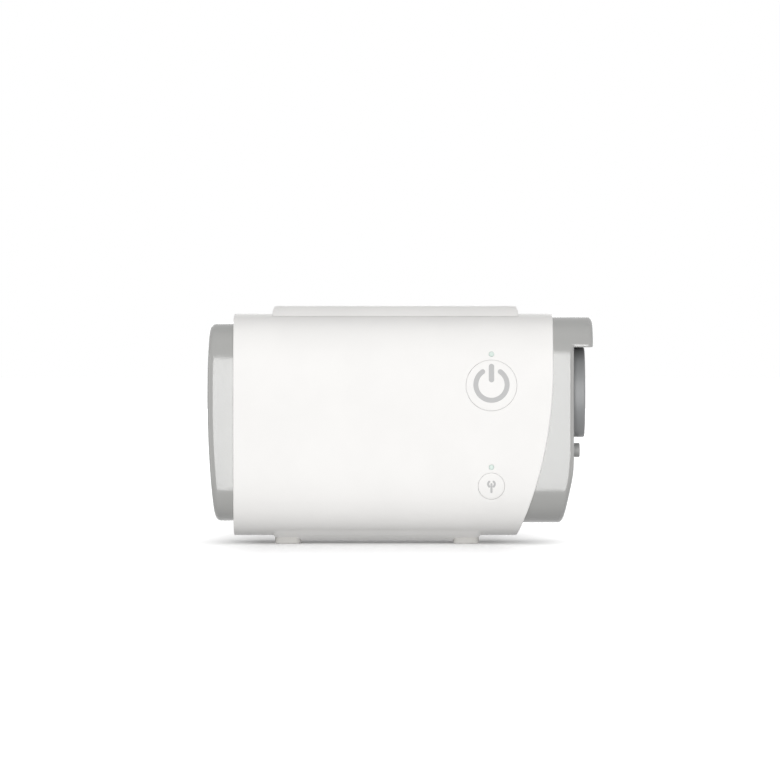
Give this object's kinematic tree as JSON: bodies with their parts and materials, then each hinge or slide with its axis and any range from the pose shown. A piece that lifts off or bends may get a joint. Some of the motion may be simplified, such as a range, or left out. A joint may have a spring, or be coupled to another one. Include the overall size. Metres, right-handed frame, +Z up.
{
  "type": "cpap machine",
  "caption": "Pocket breathing therapy machine: rounded white body on its long narrow side, grey end covers, a side hose port under a hood, and push buttons on its face.",
  "frame": {"origin": "centre of the footprint, on the surface the machine stands on", "axes": "+X along the length towards the hose port, +Y from the button face to the back, +Z up"},
  "size_m": [0.136, 0.052, 0.084],
  "materials": {
    "white_shell": "satin moulded plastic, faint spark texture",
    "grey_cover": "satin moulded plastic",
    "dark_port": "satin moulded plastic",
    "rubber_foot": "matt elastomer",
    "inner_frame": "satin",
    "filter_media": "felted fibre",
    "foam": "open-cell foam",
    "silicone": "matt silicone",
    "circuit_board": "solder mask",
    "chip": "moulded",
    "socket": "moulded",
    "light_lens": "clear, tinted",
    "bright_metal": "plated",
    "copper_wire": "enamelled wire",
    "magnet": "nickel plated",
    "blower_housing": "glass-filled",
    "lead_sleeve": "sleeved wires"
  },
  "bodies": {
    "root": {"front_shell": "white_shell", "rear_cover": "white_shell", "top_rail": "white_shell", "base_plinth": "white_shell", "foot_left": "rubber_foot", "foot_right": "rubber_foot", "inlet_frame": "inner_frame", "muffler_foam": "foam", "outlet_frame": "inner_frame", "outlet_cap": "grey_cover", "outlet_port": "dark_port", "port_seal": "silicone", "power_inlet": "dark_port", "power_pin": "bright_metal", "start_light": "light_lens", "pair_light": "light_lens", "main_board": "circuit_board", "start_switch": "bright_metal", "pair_switch": "bright_metal", "start_led": "light_lens", "pair_led": "light_lens", "processor": "chip", "radio_module": "bright_metal", "pressure_sensor": "chip", "motor_socket": "socket", "power_socket": "socket", "supply_capacitor": "bright_metal", "motor_lead": "lead_sleeve", "power_lead": "lead_sleeve", "blower_rear": "blower_housing", "motor_cap": "blower_housing", "bearing_front": "bright_metal", "bearing_rear": "bright_metal", "stator_core": "bright_metal", "stator_windings": "copper_wire", "blower_mount": "silicone", "blower_front": "blower_housing", "outlet_duct": "silicone", "case_screw_1": "bright_metal", "case_screw_2": "bright_metal", "case_screw_3": "bright_metal", "case_screw_4": "bright_metal", "board_screw_1": "bright_metal", "board_screw_2": "bright_metal", "board_screw_3": "bright_metal", "board_screw_4": "bright_metal"},
    "start_button": {"start_button": "white_shell"},
    "pair_button": {"pair_button": "white_shell"},
    "filter_door": {"filter_cover": "grey_cover", "air_filter": "filter_media"},
    "rotor": {"impeller": "inner_frame", "rotor_shaft": "bright_metal", "rotor_magnet": "magnet"}
  },
  "joints": [
    {"name": "start_press", "type": "slide", "parent": "root", "child": "start_button", "axis": [0, 1, 0], "range_m": [0, 0.0008], "stiffness_N_per_m": 600, "springref_m": -0.0005},
    {"name": "pair_press", "type": "slide", "parent": "root", "child": "pair_button", "axis": [0, 1, 0], "range_m": [0, 0.0008], "stiffness_N_per_m": 600, "springref_m": -0.0005},
    {"name": "filter_pull", "type": "slide", "parent": "root", "child": "filter_door", "axis": [-1, 0, 0], "range_m": [0, 0.03]},
    {"name": "rotor_spin", "type": "hinge", "parent": "root", "child": "rotor", "pos_m": [-0.0185, 0, 0.03703], "axis": [0, 1, 0], "continuous": true}
  ]
}
